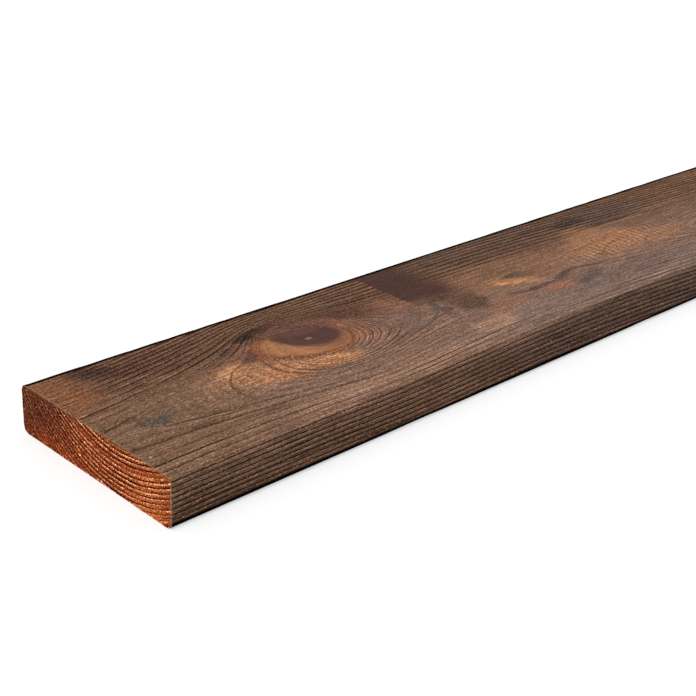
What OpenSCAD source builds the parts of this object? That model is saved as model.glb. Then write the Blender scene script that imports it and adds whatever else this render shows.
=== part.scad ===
// Planed decking plank of heat-treated softwood
//
// One sawn and planed board. Its faces are flat, its ends are cut square, and each of its
// four long edges is eased with a round-over. It lies flat, with the underside on the floor.
// X runs along the grain, Y across the face and Z through the thickness, in millimetres.
// The origin is under the middle of the board, on the underside.

/* [Board] */
// Length along the grain, from one sawn end to the other
board_length = 2400; // [600:50:6000]
// Finished width across the face
board_width = 117; // [60:1:240]
// Finished thickness
board_thickness = 26; // [18:1:60]

/* [Planed edges] */
// Radius of the round-over along both edges of the face
face_edge_radius = 3.5; // [1:0.5:8]
// Radius of the round-over along both edges of the underside
underside_edge_radius = 3.5; // [1:0.5:8]

/* [Hidden] */
// How far a cutter runs past the stock that it takes away
overcut = 1;
// Steps of a full circle, for the round-overs
$fn = 96;

// The waste that a round-over cutter takes off a square corner at the origin,
// where the stock lies in the quarter with negative x and negative y
module round_over_waste(radius) {
    difference() {
        translate([-radius, -radius])
            square(radius + overcut);
        translate([-radius, -radius])
            circle(radius);
    }
}

// Cross-section of the planed board, standing on the x axis and centred across it
module board_section() {
    difference() {
        translate([-board_width / 2, 0])
            square([board_width, board_thickness]);
        for (side = [0, 1])
            mirror([side, 0]) {
                translate([board_width / 2, board_thickness])
                    round_over_waste(face_edge_radius);
                translate([board_width / 2, 0])
                    mirror([0, 1])
                        round_over_waste(underside_edge_radius);
            }
    }
}

// The whole board: its section run along the grain between the two sawn ends
module plank() {
    color("saddlebrown")
        rotate([90, 0, 90])
            linear_extrude(board_length, center = true)
                board_section();
}

plank();
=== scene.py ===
# Looks of a planed plank of heat-treated softwood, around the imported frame
import math
import bmesh
import bpy
import numpy as np
from mathutils import Matrix, Vector


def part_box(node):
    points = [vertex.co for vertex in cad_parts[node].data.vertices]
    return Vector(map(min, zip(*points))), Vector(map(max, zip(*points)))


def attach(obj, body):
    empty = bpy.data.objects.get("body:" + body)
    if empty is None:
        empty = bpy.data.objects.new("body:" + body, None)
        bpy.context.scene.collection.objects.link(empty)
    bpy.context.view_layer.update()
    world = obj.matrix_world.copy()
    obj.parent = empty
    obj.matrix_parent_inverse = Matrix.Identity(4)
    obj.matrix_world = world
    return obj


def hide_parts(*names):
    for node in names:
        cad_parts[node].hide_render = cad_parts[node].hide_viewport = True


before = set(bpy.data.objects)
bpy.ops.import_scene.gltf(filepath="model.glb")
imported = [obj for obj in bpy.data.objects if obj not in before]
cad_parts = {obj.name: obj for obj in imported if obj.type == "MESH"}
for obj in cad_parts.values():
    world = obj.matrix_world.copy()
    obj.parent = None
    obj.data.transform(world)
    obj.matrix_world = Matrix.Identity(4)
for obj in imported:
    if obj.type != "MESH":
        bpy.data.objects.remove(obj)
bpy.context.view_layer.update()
boxLow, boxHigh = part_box("plank")
print("frame loaded, plank from", list(boxLow), "to", list(boxHigh))

# the board's own sizes in mm: along is counted from the near sawn end
boardLong = (boxHigh[0] - boxLow[0]) * 1000
boardWide = (boxHigh[1] - boxLow[1]) * 1000
boardThick = (boxHigh[2] - boxLow[2]) * 1000
nearEnd = boxLow[0] * 1000


# shader values that add up like numbers

class Wire:
    def __init__(self, bench, socket):
        self.bench = bench
        self.socket = socket

    def math(self, operation, *others):
        return self.bench.math(operation, self, *others)

    def __add__(self, other):
        return self.bench.math("ADD", self, other)

    def __radd__(self, other):
        return self.bench.math("ADD", other, self)

    def __sub__(self, other):
        return self.bench.math("SUBTRACT", self, other)

    def __rsub__(self, other):
        return self.bench.math("SUBTRACT", other, self)

    def __mul__(self, other):
        return self.bench.math("MULTIPLY", self, other)

    def __rmul__(self, other):
        return self.bench.math("MULTIPLY", other, self)

    def __truediv__(self, other):
        return self.bench.math("DIVIDE", self, other)

    def __rtruediv__(self, other):
        return self.bench.math("DIVIDE", other, self)

    def __pow__(self, other):
        return self.bench.math("POWER", self, other)


class NodeBench:
    # owner is a material or the world
    def __init__(self, owner):
        self.owner = owner
        owner.use_nodes = True
        self.tree = owner.node_tree
        self.tree.nodes.clear()

    # any node: its type, its settings, then the values or links of its sockets
    def put(self, kind, settings=None, sockets=None):
        node = self.tree.nodes.new(kind)
        for key, value in (settings or {}).items():
            setattr(node, key, value)
        for key, value in (sockets or {}).items():
            self.feed(node.inputs[key], value)
        return node

    def feed(self, socket, value):
        if isinstance(value, Wire):
            self.tree.links.new(value.socket, socket)
        elif isinstance(value, (tuple, list)) and len(value) == 3 and socket.type == "RGBA":
            socket.default_value = (*value, 1)
        else:
            socket.default_value = value

    def wire(self, node, output=0):
        return Wire(self, node.outputs[output])

    def math(self, operation, *values):
        node = self.put("ShaderNodeMath", {"operation": operation}, dict(enumerate(values)))
        return self.wire(node)

    # 0 below low and 1 above high, with soft shoulders; low may be the larger one
    def step(self, value, low, high, start=0.0, stop=1.0):
        sockets = {"Value": value, "From Min": low, "From Max": high, "To Min": start, "To Max": stop}
        return self.wire(self.put("ShaderNodeMapRange", {"interpolation_type": "SMOOTHSTEP"}, sockets))

    def vector(self, x, y, z):
        return self.wire(self.put("ShaderNodeCombineXYZ", None, {0: x, 1: y, 2: z}))

    def mix(self, factor, under, over, blend="MIX"):
        settings = {"data_type": "RGBA", "blend_type": blend, "clamp_factor": True}
        node = self.put("ShaderNodeMix", settings, {0: factor, 6: under, 7: over})
        return self.wire(node, 2)

    def shade(self, factor, color, gain):
        return self.mix(factor, color, self.mix(1.0, color, gain, "MULTIPLY"))

    # brighter or darker by a power of e
    def tone(self, color, amount):
        return self.wire(self.put("ShaderNodeVectorMath", {"operation": "SCALE"},
                                  {0: color, 3: amount.math("EXPONENT")}))

    def noise(self, place, scale=1.0, detail=2.0, rough=0.5):
        sockets = {"Vector": place, "Scale": scale, "Detail": detail, "Roughness": rough}
        return self.wire(self.put("ShaderNodeTexNoise", {"noise_dimensions": "3D"}, sockets))

    # how far a place is from a tilted oval's middle, where 1 is its rim; it stops at 2
    def oval(self, place, along, across, halfLong, halfWide, tilt):
        sockets = {"Vector": place, "Location": (along, across, 0.0),
                   "Rotation": (0.0, 0.0, math.radians(tilt)), "Scale": (2 * halfLong, 2 * halfWide, 1.0)}
        turned = self.put("ShaderNodeMapping", {"vector_type": "TEXTURE"}, sockets)
        ball = self.put("ShaderNodeTexGradient", {"gradient_type": "SPHERICAL"}, {0: self.wire(turned)})
        return self.wire(ball, 1).math("MULTIPLY_ADD", -2.0, 2.0)


# the same formula serves the mesh (numpy) and the shader (wires)
def curve(name, value):
    if isinstance(value, Wire):
        return value.math({"sin": "SINE", "tanh": "TANH", "sqrt": "SQRT", "floor": "FLOOR"}[name])
    return getattr(np, name)(value)


def softBelow(value, reach):
    # the smaller of value and 0, rounded off over reach
    if isinstance(value, Wire):
        return value.math("SMOOTH_MIN", 0.0, reach)
    near = np.maximum(reach - np.abs(value), 0) / reach
    return np.minimum(value, 0) - near ** 3 * reach / 6


# growth rings: the heart of the tree runs above the face and sways along the board
rings = {
    "heartAcross": -11.64, "acrossSway": 8.39, "acrossStretch": 107.7, "acrossStart": -0.859,
    "heartHigh": 111.4, "highSway": 2.06, "highStretch": 96.9, "highStart": 1.7,
    "spacing": 1.95, "tightSpacing": 0.8, "tightBelow": 84.0, "tightReach": 6.0, "first": 85.2,
    "depthShare": 0.78,                                    # how much of the depth below the face counts
    "lateFrom": 0.42, "lateRise": 0.48, "lateFall": 0.07,  # the dark outer part of a ring
}
# how a branch pushes the rings aside: push, reach to both sides along and across, slant, fall-off, how
# far the push sits behind the knot, and the mm in which its reach turns from one side to the other
branchPush = {"out": 24.2, "left": 13.45, "right": 19.06, "back": 10.0, "front": 21.3,
              "slant": -0.138, "fall": 0.733, "shift": 9.0, "turnAlong": 15.0, "turnAcross": 10.0}
# knots: place of the heart on the face, half sizes of the core, tilt in degrees, size and side of the push
knots = [
    {"along": 141.0, "across": 12.0, "long": 20.0, "wide": 14.0, "tilt": -15, "size": 1.0, "side": 1},
    {"along": 640.0, "across": -24.0, "long": 9.0, "wide": 7.0, "tilt": 10, "size": 0.6, "side": -1},
    {"along": 1015.0, "across": 18.0, "long": 13.0, "wide": 9.0, "tilt": -8, "size": 0.8, "side": 1},
    {"along": 1430.0, "across": -14.0, "long": 18.0, "wide": 12.0, "tilt": 12, "size": 1.0, "side": -1},
    {"along": 1890.0, "across": 26.0, "long": 11.0, "wide": 8.0, "tilt": -12, "size": 0.7, "side": 1},
    {"along": 2215.0, "across": -8.0, "long": 14.0, "wide": 10.0, "tilt": 9, "size": 0.85, "side": -1},
]
knotLean = (0.45, 0.3)  # how far a knot moves along and across, for each mm below the face
# a broad swell of the rings past the curly stretch
swell = {"along": 535.0, "across": -20.0, "out": 11.6, "long": 150.0, "wide": 42.6, "fall": 1.4}


def knotPush(u, v, knot):
    size = knot["size"]
    side = knot["side"]
    du = u - knot["along"]
    dv = (v - knot["across"]) * side - branchPush["shift"] * size - du * branchPush["slant"]
    left = branchPush["left"] * size
    right = branchPush["right"] * size
    back = branchPush["back"] * size
    front = branchPush["front"] * size
    long = (right - left) * (0.5 + 0.5 * curve("tanh", du * (1 / branchPush["turnAlong"]))) + left
    wide = (back - front) * (0.5 + 0.5 * curve("tanh", dv * (1 / branchPush["turnAcross"]))) + front
    spread = 1.0 + (du / long) ** 2 + (dv / wide) ** 2
    return branchPush["out"] * size * spread ** -branchPush["fall"]


def ringCount(u, v, w):
    depth = boardThick - w
    heartV = rings["heartAcross"] + rings["acrossSway"] * curve(
        "sin", u * (1 / rings["acrossStretch"]) + rings["acrossStart"])
    heartW = rings["heartHigh"] + rings["highSway"] * curve(
        "sin", u * (1 / rings["highStretch"]) + rings["highStart"])
    high = boardThick - rings["depthShare"] * depth
    label = curve("sqrt", (v - heartV) ** 2 + (high - heartW) ** 2)
    leanU = u - knotLean[0] * depth
    leanV = v - knotLean[1] * depth
    for knot in knots:
        label = label - knotPush(leanU, leanV, knot)
    spread = 1.0 + ((u - swell["along"]) * (1 / swell["long"])) ** 2
    spread = spread + ((v - swell["across"]) * (1 / swell["wide"])) ** 2
    label = label - swell["out"] * spread ** -swell["fall"]
    extra = 1 / rings["tightSpacing"] - 1 / rings["spacing"]
    return (label - rings["first"]) * (1 / rings["spacing"]) + extra * softBelow(
        label - rings["tightBelow"], rings["tightReach"])


# the board's mesh: section, rows, sawn ends, then the grain's relief
plank = {
    "edgeRadius": 3.5, "roundSteps": 6,                         # the planed round-overs
    "faceColumns": 100, "edgeColumns": 20,
    "fineLength": 620.0, "fineRows": 180, "coarseRows": 160,    # rows are closer near the seen end
    "faceGroove": 0.10, "edgeGroove": 0.22, "endGroove": 0.20,  # depth of the grain in mm
    "faceFray": 0.03, "endFray": 0.16,                          # loose roughness in mm
    "edgeFrom": 2.5, "edgeOver": 2.0,                           # where the deeper grain of the edges sets in
    "arrisWide": 0.05, "arrisChip": 0.15, "chipFrom": 0.55, "chipSpan": 0.45,  # chips along the sawn arris
    "endFacing": 0.75, "softenAngle": 40, "seed": 11,
}


def pick(piece, kind, keep):
    bpy.ops.mesh.select_all(action="DESELECT")
    mesh = bmesh.from_edit_mesh(piece.data)
    chosen = [part for part in getattr(mesh, kind) if keep(part)]
    for part in chosen:
        part.select_set(True)
    bmesh.update_edit_mesh(piece.data)
    return chosen


def runsAlong(edge, axis):
    line = edge.verts[1].co - edge.verts[0].co
    return abs(line[axis]) > 0.999 * line.length


def cutRows(piece, low, high, rows):
    # one cut takes 100 steps at most, so the stretch is halved first
    def inside(edge):
        middle = (edge.verts[0].co.x + edge.verts[1].co.x) / 2
        return runsAlong(edge, 0) and low < middle < high
    pick(piece, "edges", inside)
    bpy.ops.mesh.subdivide(number_cuts=1)
    pick(piece, "edges", inside)
    bpy.ops.mesh.subdivide(number_cuts=rows // 2 - 1)


def openEnds(piece):
    bpy.ops.mesh.select_mode(type="FACE")
    pick(piece, "faces", lambda face: abs(face.normal.x) > 0.9)
    bpy.ops.mesh.delete(type="ONLY_FACE")
    bpy.ops.mesh.select_mode(type="EDGE")


def fillEnd(piece, endAlong):
    pick(piece, "edges", lambda edge: edge.is_boundary and abs(edge.verts[0].co.x - endAlong) < 1e-6)
    mesh = bmesh.from_edit_mesh(piece.data)
    # the grid's corners sit in the middle of the round-overs
    inset = plank["edgeRadius"] / 1000 * (1 - math.sqrt(0.5))
    corner = Vector((endAlong, boxHigh[1] - inset, boxHigh[2] - inset))
    start = min(mesh.verts, key=lambda vert: (vert.co - corner).length)
    mesh.select_history.clear()
    mesh.select_history.add(start)
    bmesh.update_edit_mesh(piece.data)
    bpy.ops.mesh.fill_grid(span=plank["faceColumns"] + plank["roundSteps"], offset=0)


def makePlank():
    bpy.ops.object.select_all(action="DESELECT")
    size = [boxHigh[k] - boxLow[k] for k in range(3)]
    middle = [(boxHigh[k] + boxLow[k]) / 2 for k in range(3)]
    bpy.ops.mesh.primitive_cube_add(size=1, location=middle, scale=size)
    piece = bpy.context.object
    piece.name = "plank_board"
    bpy.ops.object.transform_apply(location=True, rotation=True, scale=True)
    bpy.ops.object.mode_set(mode="EDIT")
    bpy.ops.mesh.select_mode(type="EDGE")
    pick(piece, "edges", lambda edge: runsAlong(edge, 0))
    bpy.ops.mesh.bevel(offset=plank["edgeRadius"] / 1000, segments=plank["roundSteps"], profile=0.5,
                       affect="EDGES")
    # columns across the face and the underside, and up the two edges
    for high in (True, False):
        pick(piece, "edges", lambda edge: runsAlong(edge, 1) and (edge.verts[0].co.z > middle[2]) == high)
        bpy.ops.mesh.subdivide(number_cuts=plank["faceColumns"] - 1)
    pick(piece, "edges", lambda edge: runsAlong(edge, 2))
    bpy.ops.mesh.subdivide(number_cuts=plank["edgeColumns"] - 1)
    openEnds(piece)
    fillEnd(piece, boxLow[0])
    fillEnd(piece, boxHigh[0])
    # rows along the board
    bpy.ops.mesh.select_all(action="SELECT")
    change = boxLow[0] + plank["fineLength"] / 1000
    bpy.ops.mesh.bisect(plane_co=(change, 0, 0), plane_no=(1, 0, 0))
    cutRows(piece, boxLow[0], change, plank["fineRows"])
    cutRows(piece, change, boxHigh[0], plank["coarseRows"])
    bpy.ops.object.mode_set(mode="OBJECT")
    print("board cut into", len(piece.data.polygons), "faces")
    return piece


def lateWood(count):
    # dark outer part of each ring, 0 to 1
    part = count - np.floor(count)
    rise = np.clip((part - rings["lateFrom"]) / rings["lateRise"], 0, 1)
    fall = np.clip((1 - part) / rings["lateFall"], 0, 1)
    return rise * rise * (3 - 2 * rise) * fall * fall * (3 - 2 * fall)


def carveGrain(piece):
    mesh = piece.data
    total = len(mesh.vertices)
    place = np.empty(total * 3)
    mesh.vertices.foreach_get("co", place)
    place = place.reshape(-1, 3)
    normal = np.empty(total * 3)
    mesh.vertex_normals.foreach_get("vector", normal)
    normal = normal.reshape(-1, 3)
    u = place[:, 0] * 1000 - nearEnd
    v = place[:, 1] * 1000
    w = place[:, 2] * 1000
    late = lateWood(ringCount(u, v, w))
    draw = np.random.default_rng(plank["seed"])
    rough = draw.random(total)
    chip = draw.random(total)
    onEnd = (u < 1e-3) | (u > boardLong - 1e-3)
    onEdge = np.clip((np.abs(v) - boardWide / 2 + plank["edgeFrom"]) / plank["edgeOver"], 0, 1)
    groove = late * (plank["faceGroove"] + (plank["edgeGroove"] - plank["faceGroove"]) * onEdge)
    groove = groove + plank["faceFray"] * rough
    # the sawn ends are torn a little along the rings, and chipped along the arris
    rim = plank["arrisWide"]
    outline = (np.abs(v) > boardWide / 2 - rim) | (w > boardThick - rim) | (w < rim)
    endDepth = plank["endGroove"] * (1 - late) + plank["endFray"] * rough
    chipDepth = plank["arrisChip"] * np.clip(chip - plank["chipFrom"], 0, 1) / plank["chipSpan"]
    endDepth = np.where(outline, chipDepth, endDepth)
    inward = np.where(u < boardLong / 2, 1.0, -1.0)
    place[~onEnd] -= (normal * groove[:, None] / 1000)[~onEnd]
    place[onEnd, 0] += (inward * endDepth / 1000)[onEnd]
    mesh.vertices.foreach_set("co", place.ravel())
    mesh.update()
    print("grain carved, deepest", round(float(groove.max()), 3), "mm")


# a flat layout of the board for baked pictures: two strips and the two ends
layout = {"margin": 0.006, "strip": 0.455, "gap": 0.012, "endLow": 0.953, "endHigh": 0.994,
          "nearEnd": 0.02, "farEnd": 0.52, "endWide": 0.44}


def layOut(piece):
    mesh = piece.data
    radius = plank["edgeRadius"]
    halfWide = boardWide / 2
    flat = halfWide - radius
    upright = boardThick - 2 * radius
    quarter = math.pi / 2 * radius
    girth = 4 * flat + 2 * upright + 4 * quarter
    sheet = mesh.uv_layers.new(name="OFBake")
    spot = np.empty((len(mesh.loops), 2))
    place = np.empty(len(mesh.vertices) * 3)
    mesh.vertices.foreach_get("co", place)
    place = place.reshape(-1, 3) * 1000
    corner = np.empty(len(mesh.loops), dtype=int)
    mesh.loops.foreach_get("vertex_index", corner)
    sides = np.empty(len(mesh.polygons), dtype=int)
    mesh.polygons.foreach_get("loop_total", sides)
    middle = np.empty(len(mesh.polygons) * 3)
    mesh.polygons.foreach_get("center", middle)
    middle = np.repeat(middle.reshape(-1, 3) * 1000, sides, axis=0)
    facing = np.empty(len(mesh.polygons) * 3)
    mesh.polygons.foreach_get("normal", facing)
    facing = np.repeat(facing.reshape(-1, 3), sides, axis=0)
    u = place[corner, 0] - nearEnd
    v = place[corner, 1]
    w = place[corner, 2]
    # way round the section, from the middle of the underside past the front edge
    front = np.where(middle[:, 1] < 0, 1.0, -1.0)
    across = -v * front
    angleLow = np.arctan2(across - flat, radius - w)
    angleHigh = np.arctan2(w - (boardThick - radius), across - flat)
    way = np.clip(across, None, flat)
    onLow = (across > flat) & (w < radius)
    onHigh = (across > flat) & (w > boardThick - radius)
    way = np.where(onLow, flat + radius * angleLow, way)
    way = np.where((across > flat) & (w >= radius), flat + quarter + np.clip(w - radius, 0, upright), way)
    way = np.where(onHigh, flat + quarter + upright + radius * angleHigh, way)
    onTop = (across <= flat) & (middle[:, 2] > boardThick / 2)
    way = np.where(onTop, flat + 2 * quarter + upright + (flat - across), way)
    way = np.where(front > 0, way, girth - way)
    margin = layout["margin"]
    half = boardLong / 2
    second = middle[:, 0] - nearEnd > half
    spot[:, 0] = margin + (u - half * second) / half * (1 - 2 * margin)
    spot[:, 1] = margin + way / girth * layout["strip"] + second * (layout["strip"] + layout["gap"])
    onEnd = np.abs(facing[:, 0]) > plank["endFacing"]
    shift = np.where(middle[:, 0] - nearEnd < half, layout["nearEnd"], layout["farEnd"])
    spot[onEnd, 0] = (shift + (v + halfWide) / boardWide * layout["endWide"])[onEnd]
    spot[onEnd, 1] = (layout["endLow"] + w / boardThick * (layout["endHigh"] - layout["endLow"]))[onEnd]
    sheet.data.foreach_set("uv", spot.ravel())
    print("bake layout drawn over", len(mesh.polygons), "faces")


# colours as they should show, 0 to 255
def tint(red, green, blue):
    def linear(value):
        value = value / 255
        return value / 12.92 if value <= 0.04045 else ((value + 0.055) / 1.055) ** 2.4
    return (linear(red), linear(green), linear(blue))


woodTints = {
    "umber": tint(106, 76, 58), "dun": tint(133, 102, 86), "olive": tint(122, 92, 72),
    "amber": tint(176, 121, 83), "honey": tint(160, 114, 84), "tan": tint(133, 96, 73),
    "straw": tint(208, 162, 126), "rust": tint(140, 91, 61), "ember": tint(128, 84, 65),
    "plum": tint(84, 58, 53), "bark": tint(88, 58, 44), "soot": tint(48, 34, 29),
    "ash": tint(102, 82, 72), "slate": tint(82, 74, 70), "salmon": tint(156, 104, 79),
    # pitch is the near black of the painted shade on the back arris and the lowest roundings
    "fawn": tint(160, 123, 99), "edge": tint(130, 99, 81), "pitch": tint(8, 6, 5),
    "chalk": tint(226, 214, 202), "russet": tint(136, 82, 50), "stain": tint(74, 50, 44),
    "moss": tint(86, 63, 50), "blush": tint(142, 95, 72), "taupe": tint(112, 88, 80),
    "smoke": tint(88, 70, 62), "mist": tint(126, 104, 94), "lid": tint(112, 76, 64),
    "petal": tint(178, 142, 134),
}
# marks on the face: tint, strength, place along and across, half sizes, tilt, softness
faceMarks = [
    # near end, back half
    ("rust", 0.85, 4, 34, 17, 21, 0, 0.6),
    ("bark", 0.55, 66, 42, 22, 8, 0, 0.6),
    ("bark", 0.75, 44, 40, 26, 7, -30, 0.5),
    ("soot", 0.5, 31, 46, 12, 6, -20, 0.5),
    ("bark", 0.6, 46, 22, 22, 4.5, -10, 0.6),
    ("honey", 0.45, 64, 20, 10, 1.8, 6, 0.6),
    ("straw", 0.6, 53, 22, 6, 0.9, 12, 0.5),
    # near end, middle
    ("slate", 0.75, 27, -13, 9, 4.2, 10, 0.5),
    ("slate", 0.55, 34, -10, 7, 2.2, 12, 0.5),
    ("soot", 0.3, 62, -26, 27, 0.9, -10, 0.5),
    ("umber", 0.25, 30, -40, 34, 8, 0, 0.5),
    ("honey", 0.6, 90, 0, 24, 13, 0, 0.55),
    ("amber", 0.87, 110, -12, 24, 9, -10, 0.45),
    ("amber", 0.9, 86, 4, 10, 6, 20, 0.5),
    ("straw", 0.35, 85, 5, 7, 4, 25, 0.6),
    ("amber", 0.95, 136, -16, 16, 6, -8, 0.5),
    ("straw", 0.4, 139, -14.5, 11, 2.0, -24, 0.6),
    ("straw", 0.28, 117, -12, 5, 6, 0, 0.6),
    # round the large knot
    ("ember", 0.7, 104, 18, 8, 9, 35, 0.5),
    ("plum", 0.8, 102, 11, 5.5, 4.2, 35, 0.5),
    ("ash", 0.35, 107, 24, 8, 2.6, 42, 0.5),
    ("soot", 0.5, 96, 23, 5, 4, 40, 0.5),
    ("soot", 0.8, 120, 33, 13, 3.4, 12, 0.5),
    ("russet", 0.8, 108, 6, 5, 2.4, -40, 0.5),
    ("ember", 0.45, 190, 18, 24, 10, -6, 0.6),
    ("bark", 0.75, 180, 22, 18, 8, -10, 0.6),
    ("salmon", 0.4, 209, 14, 8, 8, 0, 0.6),
    ("blush", 0.45, 177, -3, 12, 13, 0, 0.6),
    ("taupe", 0.45, 197, -4, 20, 12, 0, 0.5),
    ("ash", 0.6, 192, -18.5, 30, 1.6, 12, 0.5),
    ("slate", 0.5, 201, -19, 4, 2.5, 0, 0.6),
    ("honey", 0.6, 211, -11, 3, 2, 0, 0.5),
    ("fawn", 0.45, 140, -48, 90, 6, 0, 0.5),
    ("soot", 0.55, 190, 32, 30, 1.2, -4, 0.5),
    # below the first drying lath
    ("mist", 0.75, 345, -44, 125, 15, 0, 0.4),
    ("bark", 0.5, 240, 7, 17, 6, 0, 0.5),
    ("smoke", 0.8, 228, -5, 5, 12, -10, 0.4),
    ("moss", 0.9, 246, -5, 13, 17, 0, 0.3),
    ("fawn", 0.85, 236, -38, 16, 7, 0, 0.4),
    ("fawn", 0.35, 231, -6, 1.4, 10, 14, 0.5),
    ("straw", 0.35, 223.5, -34, 1.6, 7, 6, 0.5),
    ("blush", 0.5, 259, -26, 15, 6, 4, 0.6),
    ("russet", 0.5, 263, -23, 7, 1.2, -20, 0.5),
    # the small knot in the middle
    ("tan", 0.85, 302, 5, 48, 17, 0, 0.35),
    ("amber", 0.8, 290, -5.5, 15, 5, -25, 0.4),
    ("ash", 0.85, 303, -1, 9.5, 3.2, -6, 0.3),
    ("straw", 0.35, 293, -9, 9, 1.8, -28, 0.5),
    ("straw", 0.3, 283, -2.6, 7, 1.2, -28, 0.5),
    ("soot", 0.6, 295, 2.4, 10, 0.9, 4, 0.5),
    ("salmon", 0.9, 307, -28, 11, 4.2, -14, 0.4),
    ("russet", 0.5, 305, -30.5, 7, 1.2, -20, 0.5),
    ("taupe", 0.5, 328, -23, 20, 3.4, 0, 0.5),
    ("soot", 0.65, 279, -18.3, 8, 1.3, -10, 0.4),
    ("soot", 0.7, 299, -20.2, 13, 1.6, 0, 0.4),
    ("plum", 0.85, 323, -17.4, 12, 2.4, 14, 0.4),
    ("plum", 0.8, 345, -17, 11, 1.5, -14, 0.4),
    ("slate", 0.9, 332, -30, 15, 4.2, 14, 0.4),
    ("taupe", 0.55, 362, -37, 52, 9, 0, 0.5),
    ("smoke", 0.5, 325, 43, 72, 14, 0, 0.4),
    # curly stretch
    ("smoke", 0.85, 430, 37, 40, 12, -4, 0.5),
    ("honey", 0.85, 388, 0, 38, 16, 0, 0.35),
    ("honey", 0.6, 388, 20, 16, 8, 0, 0.5),
    ("amber", 0.3, 402, 2, 20, 5, 4, 0.6),
    ("bark", 0.5, 377, 4.6, 30, 0.9, 0, 0.5),
    ("soot", 0.5, 374, 42, 40, 1.3, -1, 0.5),
    ("honey", 0.75, 430, -11, 24, 8, 4, 0.5),
    ("stain", 0.8, 395, 36.5, 13, 4, 0, 0.5),
    ("soot", 0.5, 395, 36.5, 11, 3, 0, 0.5),
    ("soot", 0.6, 428, 22.8, 30, 1.3, -4, 0.5),
    ("honey", 0.45, 430, 20, 28, 1.3, -4, 0.6),
    # bare splinters
    ("chalk", 0.9, 1.2, -6, 0.9, 0.7, 0, 0.5),
    ("chalk", 0.9, 5, -39, 0.9, 0.7, 0, 0.5),
    ("chalk", 0.7, 204, -22, 0.9, 0.6, 0, 0.5),
]
# cracks and arcs drawn along the rim of an oval: tint, strength, the oval, line width as a share of the
# oval, then a second oval in which the line shows
faceArcs = [
    ("soot", 0.68, (98.5, -13, 25, 21, 20), 0.042, (83, -6, 22, 14, 58)),
    ("bark", 0.8, (126, -3, 22, 20, 0), 0.075, (108, -8, 15, 8, 112)),
    ("bark", 0.65, (133, -3, 22, 21, 0), 0.07, (115, -13, 12, 7, 118)),
    ("bark", 0.6, (140, -3, 22, 21, 0), 0.07, (123, -16, 11, 6, 125)),
    ("soot", 0.9, (71.4, 32.3, 200, 60, -10), 0.015, (62, -27, 32, 8, -10)),
    ("slate", 0.6, (184, -4, 43, 17, 8), 0.08, (203, -9, 32, 15, 12)),
    ("soot", 0.5, (38, -13, 19, 9, -6), 0.1, (28, -13, 18, 16, 0)),
    ("bark", 0.55, (402, -10, 31, 9, 6), 0.1, (388, -6, 24, 12, 6)),
    ("bark", 0.5, (437, -15, 27, 8, 4), 0.1, (422, -11, 22, 9, 6)),
]
# how the planed wood takes the light, how strongly its noises show, and the oval with the boldest dots
finish = {"rough": 0.66, "roughSwing": 0.2, "gloss": 0.03, "bumpDepth": 0.0003,
          "fleck": 2.8, "fibre": 2.0, "strand": 2.5, "dottedField": (112, -9, 40, 14, -6)}
# noises of the planed wood: waves per mm along and across, detail, roughness
grainNoise = {
    "fibre": (0.07, 1.6, 2.0, 0.6), "fleck": (0.65, 2.3, 1.0, 0.6), "pepper": (0.75, 1.0, 1.0, 0.6),
    "thread": (0.02, 1.2, 2.0, 0.6), "streak": (0.008, 0.28, 2.0, 0.5), "mottle": (0.05, 0.14, 3.0, 0.5),
    "spark": (1.0, 1.7, 0.0, 0.5),
}
# stripes left by drying laths: the first one, their spacing, and where the count of each one starts
laths = {"first": 218.0, "apart": 612.0, "lead": 60.0}
# curly figure: its two ovals on the face, the stretch in which it turns from fine dots to bold stripes,
# the stripes' spacing before and after that, and how far they lighten and darken the wood
curly = {"near": (72, -5, 43, 16, -4), "far": (396, -5, 58, 13, 2), "turn": (200, 300),
         "nearStripe": 6.6, "farStripe": 5.2, "light": (1.42, 1.4, 1.36), "dark": (0.7, 0.66, 0.62)}
# black lines of painted shade, in mm: on the back arris in from the edge and down from the face, and on the
# lowest roundings up from the underside and in from the edge
paintedShadeLines = {"back": (5.5, 4.2), "down": (1.7, 0.9), "nearHigh": 5.4, "farHigh": 4.3, "full": 2.9,
        "side": (4.5, 1.5), "strength": 0.96}
# stretches of the face where the ring lines fade: place along and across, half sizes, strength
calmZones = [
    (8, 36, 26, 22, 0.78), (72, -3, 48, 20, 0.92), (200, -6, 18, 15, 0.85), (262, -6, 44, 22, 0.92),
    (330, -8, 50, 24, 0.92), (400, 0, 60, 24, 0.92), (300, -36, 90, 14, 0.85),
]


def boardPlace(bench):
    coords = bench.put("ShaderNodeTexCoord")
    split = bench.put("ShaderNodeSeparateXYZ", None, {0: bench.wire(coords, 3)})
    u = bench.wire(split, 0) * 1000 - nearEnd
    v = bench.wire(split, 1) * 1000
    w = bench.wire(split, 2) * 1000
    return u, v, w


def ringBands(bench, count, u, lineFrom, paleTo):
    # dark line at the end of each ring, its soft shoulder, and the pale start of the next;
    # each ring has its own strength, and fades in and out along the board
    part = count.math("FRACT")
    number = curve("floor", count)
    chance = bench.wire(bench.put("ShaderNodeTexWhiteNoise", {"noise_dimensions": "1D"}, {"W": number}))
    fade = bench.noise(bench.vector(u * 0.012, number * 3.7, 0.0), 1.0, 2.0)
    vary = (0.3 + 0.9 * chance) * bench.step(fade, 0.3, 0.6, 0.55, 1.15)
    thin = bench.step(part, lineFrom, 0.9) * bench.step(part, 1.0, 0.95) * vary
    broad = bench.step(part, 0.1, 0.85) * bench.step(part, 1.0, 0.95)
    early = bench.step(part, paleTo, 0.05) * vary
    return thin, broad, early


def grain(bench, name, u, v, w):
    along, across, detail, rough = grainNoise[name]
    return bench.noise(bench.vector(u * along, v * across, w * across), 1.0, detail, rough)


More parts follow.
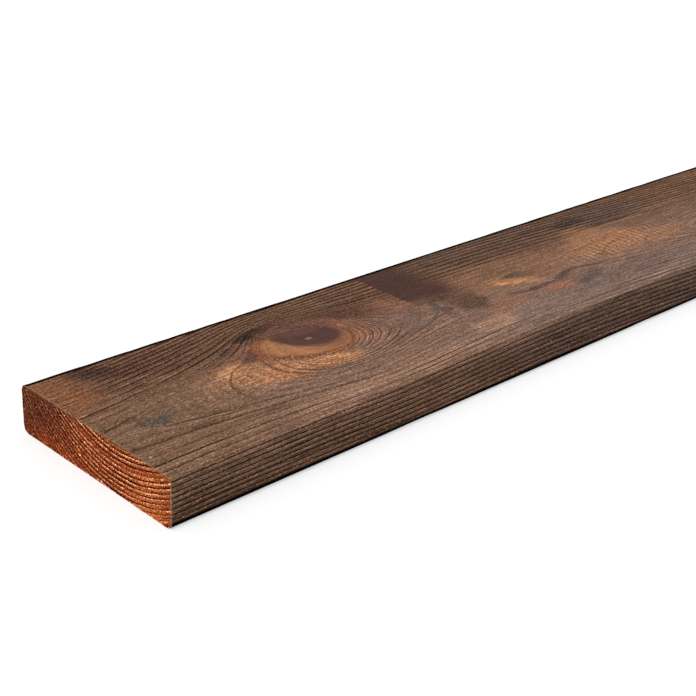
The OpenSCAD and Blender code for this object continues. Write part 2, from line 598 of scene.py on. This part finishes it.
def knotTint(bench, color, smooth, knot, lean, pepper):
    # amber crescent, reddish far side, a grainy dark rim, the dark core and its pale heart
    a, c, long, wide = knot["along"], knot["across"], knot["long"], knot["wide"]
    tilt, side = knot["tilt"], knot["side"]
    halo = bench.oval(lean, a - 3, c - 4 * side, long * 1.38, wide * 1.1, tilt)
    color = bench.mix(bench.step(halo, 1.08, 0.88, 0.0, 0.9), color, woodTints["amber"])
    smooth = smooth.math("MAXIMUM", bench.step(halo, 1.1, 0.9))
    ring = bench.step(halo, 0.82, 1.02) * bench.step(halo, 1.22, 1.08)
    color = bench.mix(ring * 0.6, color, woodTints["russet"])
    below = bench.oval(lean, a - 6, c - 1.45 * wide * side, long * 1.25, wide * 0.85, tilt)
    dots = bench.step(halo, 0.92, 1.04) * bench.step(halo, 1.34, 1.16) * bench.step(below, 1.2, 0.9)
    color = bench.mix(dots * 0.4, color, woodTints["russet"])
    color = bench.mix(dots * bench.step(pepper, 0.54, 0.4) * 0.6, color, woodTints["bark"])
    color = bench.mix(dots * bench.step(pepper, 0.56, 0.68) * 0.25, color, woodTints["straw"])
    warm = bench.oval(lean, a + 9, c + 1.5 * side, long * 1.1, wide * 1.25, tilt)
    color = bench.mix(bench.step(warm, 1.12, 0.85, 0.0, 0.9), color, woodTints["ember"])
    blush = bench.oval(lean, a + 0.55 * long, c - 0.75 * wide * side, long * 0.8, wide * 0.6, tilt)
    color = bench.mix(bench.step(blush, 1.3, 0.7, 0.0, 0.85), color, woodTints["blush"])
    lid = bench.oval(lean, a + 1, c + 0.85 * wide * side, long * 1.05, wide * 0.75, tilt)
    color = bench.mix(bench.step(lid, 1.25, 0.8, 0.0, 0.85), color, woodTints["lid"])
    core = bench.oval(lean, a + 3, c + 1.5 * side, long * 0.97, wide * 0.95, tilt * 1.5)
    color = bench.mix(bench.step(core, 1.14, 0.8, 0.0, 0.95), color, woodTints["plum"])
    color = bench.mix(bench.step(lid, 1.0, 0.5, 0.0, 0.5), color, woodTints["lid"])
    brow = bench.oval(lean, a - long, c + 1.5 * wide * side, long * 0.85, wide * 0.24, 12 * side)
    color = bench.mix(bench.step(brow, 1.5, 0.5, 0.0, 0.7), color, woodTints["soot"])
    heart = bench.oval(lean, a, c - 1.5 * side, 1.7, 1.1, tilt)
    color = bench.mix(bench.step(heart, 1.7, 0.3, 0.0, 0.6), color, woodTints["petal"])
    return color, smooth


def planedWood():
    bench = NodeBench(bpy.data.materials.new("planed_softwood"))
    u, v, w = boardPlace(bench)
    # slow wander of the patches' edges, then fibres and flecks
    wander = bench.put("ShaderNodeTexNoise", None, {"Vector": bench.vector(u / 24, v / 8, w / 8),
                                                    "Scale": 1.0, "Detail": 3.0})
    sway = bench.put("ShaderNodeSeparateColor", None, {0: bench.wire(wander, 1)})
    swayU = bench.wire(sway, 0) - 0.5
    swayV = bench.wire(sway, 1) - 0.5
    fibre = grain(bench, "fibre", u, v, w)
    fleck = grain(bench, "fleck", u, v, w)
    pepper = grain(bench, "pepper", u, v, w)
    thread = grain(bench, "thread", u, v, w)
    streak = grain(bench, "streak", u, v, w)
    mottle = grain(bench, "mottle", u, v, w)
    place = bench.vector(u + swayU * 14 + (fibre - 0.5) * 8, v + swayV * 5, 0.0)
    onFace = bench.step(w, 17, 25)
    onEdge = bench.step(v.math("ABSOLUTE"), boardWide / 2 - 2.6, boardWide / 2 - 0.4)
    # rings, and strands that follow them
    count = ringCount(u, v, w) + (mottle - 0.5) * 0.25
    thin, broad, early = ringBands(bench, count, u, 0.73 - 0.06 * onEdge, 0.4)
    strand = bench.noise(bench.vector(u * 0.02, count * 5, 0.0), 1.0, 2.0, 0.6)
    # plain wood, browner to the back and greyer to the front
    plain = bench.mix(bench.step(u + swayU * 40, 40, 120), woodTints["olive"], woodTints["dun"])
    color = bench.mix(bench.step(v + swayV * 16, 36, -20), woodTints["umber"], plain)
    # loose patches where nothing is drawn
    hidden = 1 - onFace * bench.step(u, 640, 470)
    loose = bench.noise(bench.vector(u * 0.012 + 3.7, v * 0.05, w * 0.05), 1.0, 3.0)
    color = bench.mix(bench.step(loose, 0.54, 0.72) * hidden * 0.75, color, woodTints["honey"])
    color = bench.mix(bench.step(loose, 0.44, 0.28) * hidden * 0.7, color, woodTints["bark"])
    # listed marks drawn on the seen face
    for name, strength, along, across, halfLong, halfWide, tilt, soft in faceMarks:
        rim = bench.oval(place, along, across, halfLong, halfWide, tilt)
        mask = bench.step(rim, 1 + soft, 1 - soft, 0.0, strength)
        color = bench.mix(mask * onFace, color, woodTints[name])
    calmPlace = bench.vector(u + swayU * 3, v + swayV * 2, 0.0)
    broken = bench.step(pepper, 0.36, 0.54, 0.45, 1.0)
    for name, strength, oval, thick, window in faceArcs:
        off = (bench.oval(calmPlace, *oval) - 1.0).math("ABSOLUTE")
        shown = bench.step(bench.oval(calmPlace, *window), 1.15, 0.7, 0.0, strength) * broken
        color = bench.mix(bench.step(off, thick, thick * 0.3) * shown * onFace, color, woodTints[name])
    # curly figure: stripes across the grain
    bent = u + swayV * 6 + swayU * 5
    nearTurns = 2 * math.pi / curly["nearStripe"]
    farTurns = 2 * math.pi / curly["farStripe"]
    curl = curve("sin", bent * bench.step(u, *curly["turn"], nearTurns, farTurns))
    zone = bench.step(bench.oval(place, *curly["near"]), 1.4, 0.6)
    zone = zone + bench.step(bench.oval(place, *curly["far"]), 1.4, 0.6)
    zone = (zone + bench.step(loose, 0.56, 0.7) * hidden) * bench.step(streak, 0.2, 0.6)
    dotted = bench.step(pepper, 0.4, 0.6).math("MAXIMUM", bench.step(u, *curly["turn"], 0.0, 0.8))
    color = bench.shade(zone * dotted * bench.step(curl, -0.2, 1.0), color, curly["light"])
    trough = zone * bench.step(curl, 0.2, -1.0) * bench.step(u, *curly["turn"], 0.35, 0.8)
    color = bench.shade(trough, color, curly["dark"])
    # dark stripe where a drying lath lay
    lath = ((u - laths["first"] + laths["lead"]) / laths["apart"]).math("FRACT")
    lath = lath * laths["apart"] - laths["lead"]
    stain = bench.step(lath + swayU * 2, -0.8, 1.0)
    stain = stain * bench.step(lath + swayU * 26 + (v - 40) * 0.25, 46, 20)
    stain = stain * bench.step(v + swayV * 16, -1, 15) * (1 - onEdge)
    # edges of the board are darker than its face and darker again past the first stretch; the extra
    # darkening low down is painted shade
    color = bench.mix(onEdge * 0.9, color, woodTints["edge"])
    # painted shade: the edges darken towards the underside
    color = bench.shade(onEdge * bench.step(w, 22, 3) * 0.45, color, (0.5, 0.48, 0.46))
    color = bench.shade(onEdge * bench.step(u, 170, 310), color, (0.74, 0.79, 0.89))
    # ring lines, stronger to the back, low on the edges and right of the knot, and calmer in the figured
    # stretches
    calm = stain * 0.8
    for along, across, halfLong, halfWide, strength in calmZones:
        rim = bench.oval(place, along, across, halfLong, halfWide, 0)
        calm = calm.math("MAXIMUM", bench.step(rim, 1.3, 0.6, 0.0, strength) * onFace)
    backward = bench.step(v, 16, 34) * bench.step(u, 200, 260, 1.7, 1.5)
    reach = 0.68 + backward + onEdge * bench.step(w, 23, 12, 0.4, 1.7)
    reach = reach + bench.step(bench.oval(place, 168, -3, 13, 14, 0), 1.4, 0.6, 0.0, 0.45)
    line = (thin * 1.2 + broad * 0.14) * reach * (0.55 + streak) * (1 - calm)
    line = line + onEdge * bench.step(thread, 0.52, 0.7) * 0.6
    color = bench.shade(line, color, (0.2, 0.15, 0.12))
    color = bench.shade(early * reach * (1 - calm) * (0.6 - 0.3 * onEdge), color, (1.5, 1.5, 1.5))
    combed = bench.step(v, -26, -38) * onFace * (1 - onEdge) * bench.step(u, 90, 210, 0.2, 1.0)
    color = bench.shade(combed * bench.step(thread, 0.5, 0.68) * 0.5, color, (1.3, 1.37, 1.46))
    color = bench.mix(stain * 0.92, color, woodTints["stain"])
    # knots, leaning through the board
    depth = boardThick - w
    lean = bench.vector(u - knotLean[0] * depth + swayU * 6, v - knotLean[1] * depth + swayV * 3, 0.0)
    smooth = stain * 0.8
    for knot in knots:
        color, smooth = knotTint(bench, color, smooth, knot, lean, pepper)
    # fibres, strands and flecks over all
    level = (fleck - 0.5) * finish["fleck"] * (bench.step(u, 180, 110, 1.0, 1.2) - onEdge * 0.2)
    level = level * (1 - smooth * 0.65)
    level = level + (pepper - 0.5) * bench.step(
        bench.oval(place, *finish["dottedField"]), 1.4, 0.8, 0.5, 2.2) * (1 - smooth)
    level = level + (fibre - 0.5) * finish["fibre"] * (1 - smooth * 0.6)
    level = level + (strand - 0.5) * finish["strand"] * (1 - calm * 0.8)
    color = bench.tone(color, level - 0.04 * (1 - onEdge))
    # lone pale specks
    spark = grain(bench, "spark", u, v, w)
    color = bench.mix(bench.step(spark, 0.71, 0.78) * (1 - smooth) * 0.75, color, woodTints["straw"])
    # pale torn fibres along the sawn arris
    torn = bench.step(u + (fleck - 0.5) * 4, 1.3, 0.3)
    color = bench.mix(torn * bench.step(fleck, 0.46, 0.6) * 0.6, color, woodTints["straw"])
    # painted shade: near black on the back arris, where its rounding turns from the light,
    # and on the lowest roundings, where the board meets the floor
    halfWide = boardWide / 2
    dark = bench.step(v + (fibre - 0.5) * 3, halfWide - paintedShadeLines["back"][0], halfWide - paintedShadeLines["back"][1])
    dark = dark * bench.step(w, boardThick - paintedShadeLines["down"][0], boardThick - paintedShadeLines["down"][1])
    ragged = w + (fibre - 0.5) * 1.5
    lowTop = bench.step(u, 110, 0, paintedShadeLines["farHigh"], paintedShadeLines["nearHigh"])
    low = bench.step(ragged, lowTop, paintedShadeLines["full"])
    low = low * bench.step(v.math("ABSOLUTE"), halfWide - paintedShadeLines["side"][0], halfWide - paintedShadeLines["side"][1])
    dark = dark.math("MAXIMUM", low * bench.step(v, 20, -20, 0.6, 1.0))
    # roughness and fine relief
    rough = finish["rough"] + (fibre - 0.5) * finish["roughSwing"] + line * 0.1
    height = fibre * 0.4 + fleck * 0.4 - line * 0.9 + strand * 0.3
    bump = bench.put("ShaderNodeBump", None, {
        "Strength": 0.8, "Distance": finish["bumpDepth"], "Height": height})
    shader = bench.put("ShaderNodeBsdfPrincipled", None, {
        "Base Color": color, "Roughness": rough, "Normal": bench.wire(bump),
        "Specular IOR Level": finish["gloss"]})
    # a matte near-black surface that paints that shade in
    paintedShadeBlack = bench.put("ShaderNodeBsdfPrincipled", None, {
        "Base Color": woodTints["pitch"], "Roughness": 0.9, "Specular IOR Level": 0.0})
    both = bench.put("ShaderNodeMixShader", None, {
        0: dark * paintedShadeLines["strength"], 1: bench.wire(shader), 2: bench.wire(paintedShadeBlack)})
    bench.put("ShaderNodeOutputMaterial", None, {"Surface": bench.wire(both)})
    print("planed wood mixed from", len(bench.tree.nodes), "nodes")
    return bench.owner


endTints = {"maroon": tint(103, 54, 36), "copper": tint(151, 68, 35), "ochre": tint(199, 111, 57),
            "line": tint(46, 12, 3), "pale": tint(248, 168, 122), "fringe": tint(196, 156, 116)}
# how the sawn ends take the light, the strength of their grit, and where across them dark wood turns red
sawn = {"rough": 0.75, "roughSwing": 0.2, "bumpDepth": 0.0004, "grit": 6.5, "redFrom": 54, "redTo": -3}


def sawnWood():
    bench = NodeBench(bpy.data.materials.new("sawn_end_grain"))
    u, v, w = boardPlace(bench)
    grit = bench.noise(bench.vector(u * 0.2, v * 1.15, w * 1.4), 1.0, 1.0, 0.6)
    cloud = bench.noise(bench.vector(u * 0.02, v * 0.05, w * 0.08), 1.0, 3.0)
    blotch = bench.noise(bench.vector(u * 0.2, v * 0.7 - w * 0.5, w * 0.9), 1.0, 2.0)
    count = ringCount(u, v, w) + (cloud - 0.5) * 0.5 + (blotch - 0.5) * 0.3
    thin, broad, early = ringBands(bench, count, v * 6, 0.56, 0.5)
    patch = bench.noise(bench.vector(u * 0.05 + 7, v * 0.13, w * 0.22), 1.0, 2.0)
    patch = bench.step(patch, 0.38, 0.58, 0.45, 1.25)
    # dark to the back, yellower low at the front
    red = bench.step(v + (cloud - 0.5) * 40 + (w - 13) * 1.4, sawn["redFrom"], sawn["redTo"])
    color = bench.mix(red, endTints["maroon"], endTints["copper"])
    yellow = bench.step(v, -14, -44) * bench.step(v, -58, -42, 0.2, 1.0)
    yellow = yellow * bench.step(w + (cloud - 0.5) * 16, 30, 4, 0.2, 0.85)
    color = bench.mix(yellow, color, endTints["ochre"])
    strong = bench.step(v, -52, -26, 0.6, 1.0) * bench.step(v, 42, 14, 0.4, 1.0)
    color = bench.mix((thin * 1.5 * patch + broad * 0.2) * strong, color, endTints["line"])
    # pale torn fibres in the early wood, in short dashes along the rings
    dash = bench.noise(bench.vector(v * 0.4, count * 1.6, 0.0), 1.0, 1.0)
    light = bench.step(v, 36, 0, 0.15, 1.25) * bench.step(w, 8, 20, 0.85, 1.12)
    color = bench.mix(early * patch * bench.step(dash, 0.34, 0.6, 0.2, 1.1) * light, color, endTints["pale"])
    sub = bench.noise(bench.vector(v * 0.06, count * 4.5, 0.0), 1.0, 1.0)
    color = bench.tone(color, (grit - 0.5) * sawn["grit"] + (sub - 0.5) * 2.2
                       + (blotch - 0.5) * bench.step(v, 0, 30, 1.0, 5.0))
    # pale fringe of torn fibres at the front corner and along the face
    fringe = bench.step(v + (grit - 0.5) * 3, -56.4, -57.6)
    fringe = fringe.math("MAXIMUM", bench.step(w + (grit - 0.5) * 2, boardThick - 1.1, boardThick - 0.4))
    fringe = fringe * bench.step(grit, 0.4, 0.55) * 0.65
    color = bench.mix(fringe, color, endTints["fringe"])
    height = grit * 0.8 - thin * 0.6
    bump = bench.put("ShaderNodeBump", None, {
        "Strength": 0.8, "Distance": sawn["bumpDepth"], "Height": height})
    shader = bench.put("ShaderNodeBsdfPrincipled", None, {
        "Base Color": color, "Roughness": sawn["rough"] + (grit - 0.5) * sawn["roughSwing"],
        "Normal": bench.wire(bump), "Specular IOR Level": 0.0})
    bench.put("ShaderNodeOutputMaterial", None, {"Surface": bench.wire(shader)})
    print("sawn ends mixed from", len(bench.tree.nodes), "nodes")
    return bench.owner


def dress(piece):
    piece.data.materials.clear()
    piece.data.materials.append(planedWood())
    piece.data.materials.append(sawnWood())
    for face in piece.data.polygons:
        face.material_index = 1 if abs(face.normal.x) > plank["endFacing"] else 0
    bpy.ops.object.select_all(action="DESELECT")
    piece.select_set(True)
    bpy.context.view_layer.objects.active = piece
    bpy.ops.object.shade_smooth_by_angle(angle=math.radians(plank["softenAngle"]))


piece = makePlank()
carveGrain(piece)
layOut(piece)
dress(piece)
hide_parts("plank")
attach(piece, "root")

# floor, light and camera
studio = {
    "floorSize": 30.0, "floorBounce": (0.35, 0.35, 0.35), "floorShown": (0.6, 0.6, 0.6), "floorGlow": 0.5,
    "sky": 0.62, "sunPower": 1.55, "sunSpread": 50, "sunFrom": (-0.85, -0.35, 1.0),
    "sunPlace": (-2, -1, 3), "floorDrop": 0.0002,
}


def seenRays(bench):
    # camera rays, and mirrored or refracted ones, see the white studio
    path = bench.put("ShaderNodeLightPath")
    return (bench.wire(path, "Is Camera Ray") + bench.wire(path, "Is Glossy Ray")
            + bench.wire(path, "Is Transmission Ray"))


def makeFloor():
    bpy.ops.object.select_all(action="DESELECT")
    floorHigh = boxLow[2] - studio["floorDrop"]
    bpy.ops.mesh.primitive_plane_add(size=studio["floorSize"], location=(0, 0, floorHigh))
    floor = bpy.context.object
    floor.name = "floor"
    bench = NodeBench(bpy.data.materials.new("studio_floor"))
    seen = seenRays(bench)
    dull = bench.put("ShaderNodeBsdfDiffuse", None, {"Color": studio["floorBounce"]})
    clean = bench.put("ShaderNodeBsdfDiffuse", None, {"Color": studio["floorShown"]})
    glow = bench.put("ShaderNodeEmission", None, {"Strength": studio["floorGlow"]})
    lit = bench.put("ShaderNodeAddShader", None, {0: bench.wire(clean), 1: bench.wire(glow)})
    both = bench.put("ShaderNodeMixShader", None, {0: seen, 1: bench.wire(dull), 2: bench.wire(lit)})
    bench.put("ShaderNodeOutputMaterial", None, {"Surface": bench.wire(both)})
    floor.data.materials.append(bench.owner)


def makeLight():
    world = bpy.data.worlds.new("studio")
    bpy.context.scene.world = world
    bench = NodeBench(world)
    seen = seenRays(bench)
    dome = bench.put("ShaderNodeBackground", None, {"Color": (1, 1, 1), "Strength": studio["sky"]})
    white = bench.put("ShaderNodeBackground", None, {"Color": (1, 1, 1), "Strength": 1.0})
    both = bench.put("ShaderNodeMixShader", None, {0: seen, 1: bench.wire(dome), 2: bench.wire(white)})
    bench.put("ShaderNodeOutputWorld", None, {"Surface": bench.wire(both)})
    bpy.ops.object.light_add(type="SUN", location=studio["sunPlace"])
    sun = bpy.context.object
    sun.name = "window_sun"
    sun.data.energy = studio["sunPower"]
    sun.data.angle = math.radians(studio["sunSpread"])
    sun.rotation_mode = "QUATERNION"
    sun.rotation_quaternion = Vector(studio["sunFrom"]).to_track_quat("Z", "Y")


# the camera: place in mm from the near end, the middle line and the underside
lens = {"place": (-298.65, -456.64, 318.92), "yaw": 45.185, "pitch": 24.876, "roll": 2.6457,
        "focal": 69.941}


def makeCamera():
    yaw, pitch, roll = (math.radians(lens[key]) for key in ("yaw", "pitch", "roll"))
    ahead = Vector((math.sin(yaw) * math.cos(pitch), math.cos(yaw) * math.cos(pitch), -math.sin(pitch)))
    level = Vector((math.cos(yaw), -math.sin(yaw), 0))
    up = level.cross(ahead)
    right = level * math.cos(roll) + up * math.sin(roll)
    top = up * math.cos(roll) - level * math.sin(roll)
    data = bpy.data.cameras.new("photo_camera")
    camera = bpy.data.objects.new("photo_camera", data)
    bpy.context.scene.collection.objects.link(camera)
    turn = Matrix((right, top, -ahead)).transposed().to_4x4()
    x, y, z = lens["place"]
    spot = Vector(((x + nearEnd) / 1000, y / 1000, z / 1000 + boxLow[2]))
    camera.matrix_world = Matrix.Translation(spot) @ turn
    data.sensor_width = 36
    data.lens = lens["focal"]
    bpy.context.scene.camera = camera


makeFloor()
makeLight()
makeCamera()
print("floor, light and camera set")
bpy.context.scene.view_settings.view_transform = "Standard"
